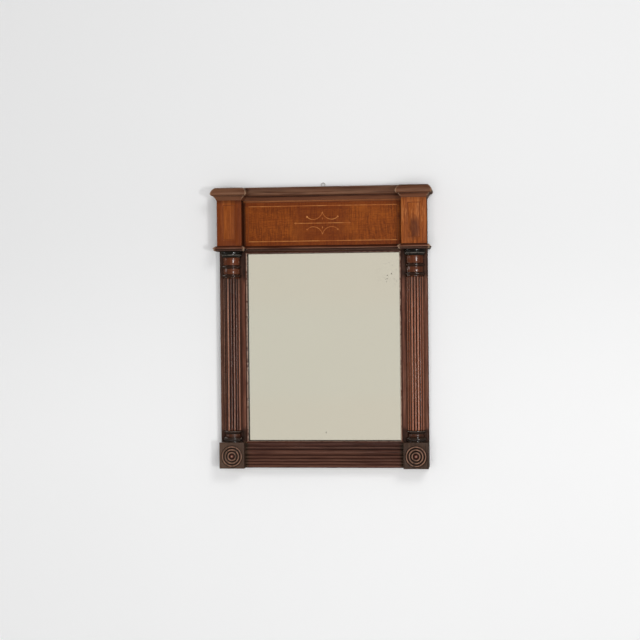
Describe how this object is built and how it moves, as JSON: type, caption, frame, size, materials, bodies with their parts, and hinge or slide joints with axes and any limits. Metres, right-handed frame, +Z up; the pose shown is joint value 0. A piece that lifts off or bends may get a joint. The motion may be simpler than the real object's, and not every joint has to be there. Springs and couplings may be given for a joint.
{
  "type": "pier mirror",
  "caption": "Wall mirror with a veneered, strung and inlaid frieze, breakfront cornice, reeded half columns, bull's-eye corner blocks and a ring to hang by.",
  "frame": {"origin": "middle of the sight opening, on the plane of the wall that the back rests on", "axes": "+X to the viewer's right, +Y into the wall, +Z up"},
  "size_m": [0.587, 0.0855, 0.7615],
  "materials": {
    "pine": "planed pine, aged and dry, without polish",
    "backboard_pine": "rough-sawn pine, darkened with age",
    "mahogany": "dark mahogany, worn shellac polish",
    "moulding_mahogany": "mahogany moulding, worn shellac polish",
    "frieze_mahogany": "figured mahogany veneer, shellac polish",
    "turned_mahogany": "turned and reeded mahogany, dark polish left in the quirks",
    "boxwood": "boxwood line under amber polish",
    "mirror_plate": "old looking-glass plate, faintly warm and spotted",
    "silvering": "tin foil silvering with small losses",
    "iron": "dull cut iron with light rust",
    "steel": "dull bright steel"
  },
  "bodies": {
    "frame": {"backboard_left": "backboard_pine", "backboard_middle": "backboard_pine", "backboard_nails": "iron", "backboard_right": "backboard_pine", "bottom_rail": "pine", "cornice_centre": "moulding_mahogany", "cornice_fillet": "moulding_mahogany", "cornice_top_board": "pine", "frieze_inlay": "boxwood", "frieze_stringing": "boxwood", "frieze_veneer": "frieze_mahogany", "glass_blocks": "pine", "hanger_plate": "steel", "hanger_screws": "iron", "left_base": "turned_mahogany", "left_block_stringing": "boxwood", "left_block_veneer": "frieze_mahogany", "left_cap_front": "moulding_mahogany", "left_cap_inner": "moulding_mahogany", "left_cap_outer": "moulding_mahogany", "left_capital": "turned_mahogany", "left_corner_block": "mahogany", "left_frieze_block": "pine", "left_neck_front": "moulding_mahogany", "left_neck_inner": "moulding_mahogany", "left_neck_outer": "moulding_mahogany", "left_shaft": "turned_mahogany", "left_side_veneer": "mahogany", "left_stile": "pine", "left_stile_facing": "mahogany", "mirror_glass": "mirror_plate", "mirror_silvering": "silvering", "neck_moulding_centre": "moulding_mahogany", "reeded_rail": "mahogany", "right_base": "turned_mahogany", "right_block_stringing": "boxwood", "right_block_veneer": "frieze_mahogany", "right_cap_front": "moulding_mahogany", "right_cap_inner": "moulding_mahogany", "right_cap_outer": "moulding_mahogany", "right_capital": "turned_mahogany", "right_corner_block": "mahogany", "right_frieze_block": "pine", "right_neck_front": "moulding_mahogany", "right_neck_inner": "moulding_mahogany", "right_neck_outer": "moulding_mahogany", "right_shaft": "turned_mahogany", "right_side_veneer": "mahogany", "right_stile": "pine", "right_stile_facing": "mahogany", "sight_slip_bottom": "mahogany", "sight_slip_left": "mahogany", "sight_slip_right": "mahogany", "sight_slip_top": "mahogany", "top_rail": "pine"},
    "ring": {"hanging_ring": "steel"}
  },
  "joints": [
    {"name": "ring_swing", "type": "hinge", "parent": "frame", "child": "ring", "pos_m": [0, -0.0029, 0.412], "axis": [-1, 0, 0], "range_deg": [0, 178]}
  ]
}
